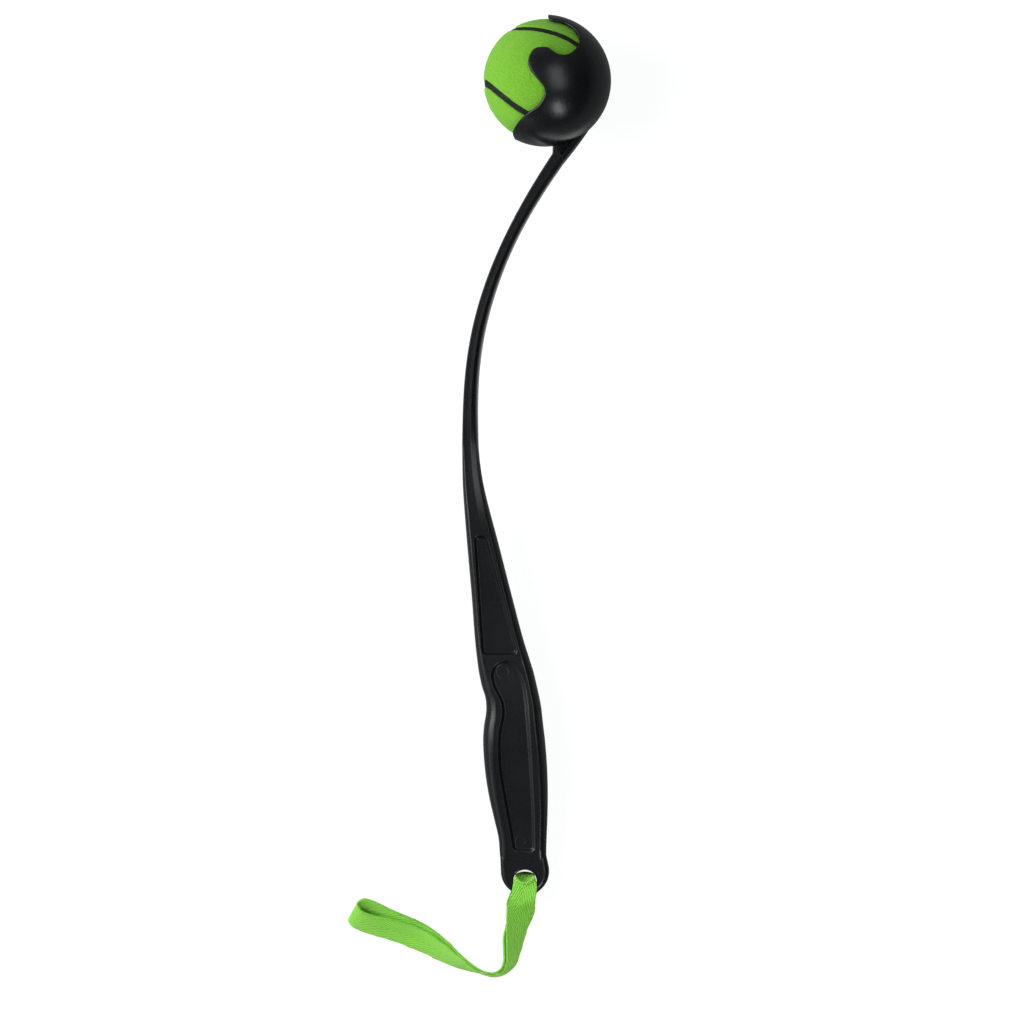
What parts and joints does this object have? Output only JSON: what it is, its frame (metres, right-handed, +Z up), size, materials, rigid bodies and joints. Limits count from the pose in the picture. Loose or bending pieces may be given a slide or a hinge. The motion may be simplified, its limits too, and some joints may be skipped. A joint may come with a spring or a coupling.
{
  "type": "dog ball launcher stick",
  "caption": "Moulded stick with a snap cup for a felt ball on a springy curved arm, a recessed grip and a webbing wrist loop through its end lug.",
  "frame": {"origin": "on the ground below the middle of the object's box, the launcher lying on its side", "axes": "+Y from the strap end to the ball cup, +X to the cup's closed back, +Z up from the ground"},
  "size_m": [0.1384, 0.5058, 0.0692],
  "materials": {
    "moulding": "fine satin moulded skin",
    "webbing": "herringbone woven tape",
    "thread": "sewing thread",
    "core_rubber": "matt",
    "felt": "fuzzy felt",
    "seam_rubber": "matt"
  },
  "bodies": {
    "launcher": {"cup": "moulding", "arm_root": "moulding", "arm": "moulding", "handle": "moulding", "lug": "moulding"},
    "ball": {"ball_core_front": "core_rubber", "ball_core_back": "core_rubber", "felt_panel_front": "felt", "felt_panel_back": "felt", "ball_seam": "seam_rubber"},
    "strap": {"wrist_strap": "webbing", "strap_lap": "webbing", "strap_stitching": "thread"}
  },
  "joints": [
    {"name": "ball_slide", "type": "slide", "parent": "launcher", "child": "ball", "axis": [-0.9511, 0.3084, 0.0199], "range_m": [0, 0.09], "deforming": ["felt_panel_front", "felt_panel_back", "ball_seam"]},
    {"name": "strap_swing", "type": "hinge", "parent": "launcher", "child": "strap", "pos_m": [0.02413, -0.20179, 0.00752], "axis": [0, 0, 1], "range_deg": [-50, 50]}
  ]
}
